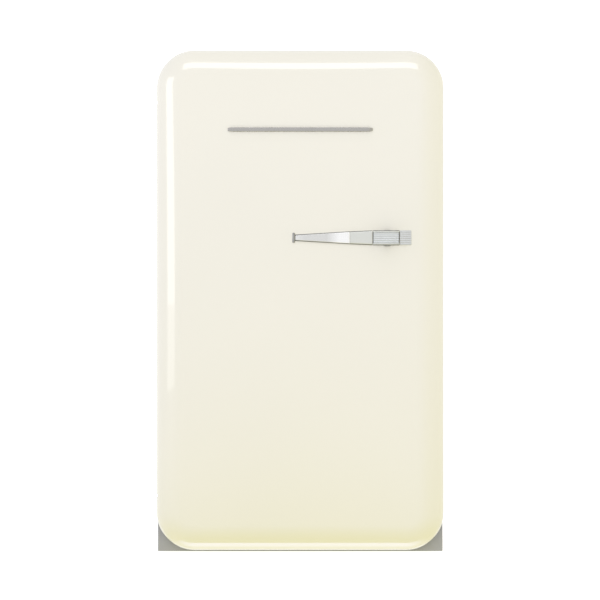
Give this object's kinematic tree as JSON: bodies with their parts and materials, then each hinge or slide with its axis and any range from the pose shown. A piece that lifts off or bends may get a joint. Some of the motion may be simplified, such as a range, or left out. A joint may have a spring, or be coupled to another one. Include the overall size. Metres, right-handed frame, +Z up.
{
  "type": "mini fridge",
  "caption": "Upright mini fridge with a crowned cream door hinged on the left, a chrome bar handle, glass shelves, ice compartment, crisper and a rear cooling system.",
  "frame": {"origin": "on the floor, at the middle of the fridge's width and depth", "axes": "+X to the right seen from the front, +Y to the back, +Z up"},
  "size_m": [0.543, 0.632, 0.953],
  "materials": {
    "cream_paint": "glossy cream enamel",
    "galvanised_steel": "dull galvanised sheet",
    "foam": "rigid polyurethane foam",
    "white_liner": "satin vacuum-formed plastic",
    "grey_plastic": "fine-grained grey plastic",
    "dark_plastic": "fine-grained dark plastic",
    "zinc_steel": "zinc plated",
    "black_paint": "semi-gloss black paint",
    "black_rubber": "matt rubber",
    "relay_plastic": "ivory plastic",
    "copper": "drawn copper, slightly dulled",
    "clear_plastic": "clear moulded plastic",
    "aluminium": "satin sheet",
    "white_gloss": "glossy moulded plastic",
    "circuit_board": "coated board",
    "lens": "frosted lens",
    "shelf_glass": "tempered glass, clear",
    "shelf_trim": "satin grey plastic",
    "gasket": "soft light grey vinyl",
    "handle_grey": "satin grey metal",
    "handle_chrome": "satin chrome",
    "badge_chrome": "satin chrome"
  },
  "bodies": {
    "cabinet": {"outer_wrap": "cream_paint", "rear_panel": "galvanised_steel", "front_frame": "cream_paint", "foam_core": "foam", "inner_liner": "white_liner", "bay_shield": "galvanised_steel", "base_tray": "grey_plastic", "front_plinth": "grey_plastic", "rear_feet": "dark_plastic", "upper_hinge_bracket": "zinc_steel", "lower_hinge_bracket": "zinc_steel", "hinge_pins": "zinc_steel", "hinge_screws": "zinc_steel", "compressor": "black_paint", "compressor_rail": "galvanised_steel", "compressor_grommets": "black_rubber", "compressor_bolts": "zinc_steel", "relay_box": "relay_plastic", "condenser_coil": "black_paint", "condenser_wires": "black_paint", "condenser_clips": "dark_plastic", "wall_spacers": "dark_plastic", "filter_dryer": "copper", "refrigerant_lines": "copper", "drain_tray": "clear_plastic", "cord_inlet": "dark_plastic", "icebox": "aluminium", "icebox_frame": "white_liner", "icebox_hangers": "aluminium", "thermostat_housing": "white_liner", "lamp_board": "circuit_board", "lamp_lens": "lens", "crisper_cover": "shelf_glass", "crisper_cover_trim": "shelf_trim"},
    "door": {"door_skin": "cream_paint", "door_foam": "foam", "door_liner": "white_liner", "door_gasket": "gasket", "hinge_bushes": "white_gloss", "handle_foot": "handle_grey", "handle_body": "handle_chrome", "handle_end_cap": "handle_chrome", "handle_collar": "handle_chrome", "handle_blade": "handle_chrome", "handle_tip": "handle_grey", "handle_screws": "zinc_steel", "badge_bar": "badge_chrome", "dairy_bin": "clear_plastic", "door_bins": "clear_plastic"},
    "icebox_flap": {"icebox_flap": "clear_plastic"},
    "thermostat_knob": {"thermostat_knob": "white_gloss"},
    "upper_shelf": {"upper_shelf_glass": "shelf_glass", "upper_shelf_trim": "shelf_trim"},
    "lower_shelf": {"lower_shelf_glass": "shelf_glass", "lower_shelf_trim": "shelf_trim"},
    "crisper_drawer": {"crisper_drawer": "clear_plastic"},
    "dairy_lid": {"dairy_lid": "clear_plastic"},
    "bottle_retainer": {"bottle_retainer": "clear_plastic"},
    "left_foot": {"left_foot": "dark_plastic"},
    "right_foot": {"right_foot": "dark_plastic"}
  },
  "joints": [
    {"name": "door_hinge", "type": "hinge", "parent": "cabinet", "child": "door", "pos_m": [-0.2555, -0.2, 0.5], "axis": [0, 0, -1], "range_deg": [0, 110]},
    {"name": "icebox_flap_hinge", "type": "hinge", "parent": "cabinet", "child": "icebox_flap", "pos_m": [0, -0.056, 0.852], "axis": [-1, 0, 0], "range_deg": [0, 90]},
    {"name": "thermostat_turn", "type": "hinge", "parent": "cabinet", "child": "thermostat_knob", "pos_m": [0.185, 0, 0.685], "axis": [-1, 0, 0], "range_deg": [0, 270]},
    {"name": "upper_shelf_slide", "type": "slide", "parent": "cabinet", "child": "upper_shelf", "axis": [0, -1, 0], "range_m": [0, 0.024]},
    {"name": "lower_shelf_slide", "type": "slide", "parent": "cabinet", "child": "lower_shelf", "axis": [0, -1, 0], "range_m": [0, 0.024]},
    {"name": "crisper_slide", "type": "slide", "parent": "cabinet", "child": "crisper_drawer", "axis": [0, -1, 0], "range_m": [0, 0.024]},
    {"name": "dairy_lid_hinge", "type": "hinge", "parent": "door", "child": "dairy_lid", "pos_m": [0, -0.177, 0.7195], "axis": [1, 0, 0], "range_deg": [0, 80]},
    {"name": "bottle_retainer_slide", "type": "slide", "parent": "door", "child": "bottle_retainer", "axis": [1, 0, 0], "range_m": [-0.21, 0.09]},
    {"name": "left_foot_screw", "type": "slide", "parent": "cabinet", "child": "left_foot", "axis": [0, 0, -1], "range_m": [0, 0.012]},
    {"name": "right_foot_screw", "type": "slide", "parent": "cabinet", "child": "right_foot", "axis": [0, 0, -1], "range_m": [0, 0.012]}
  ]
}
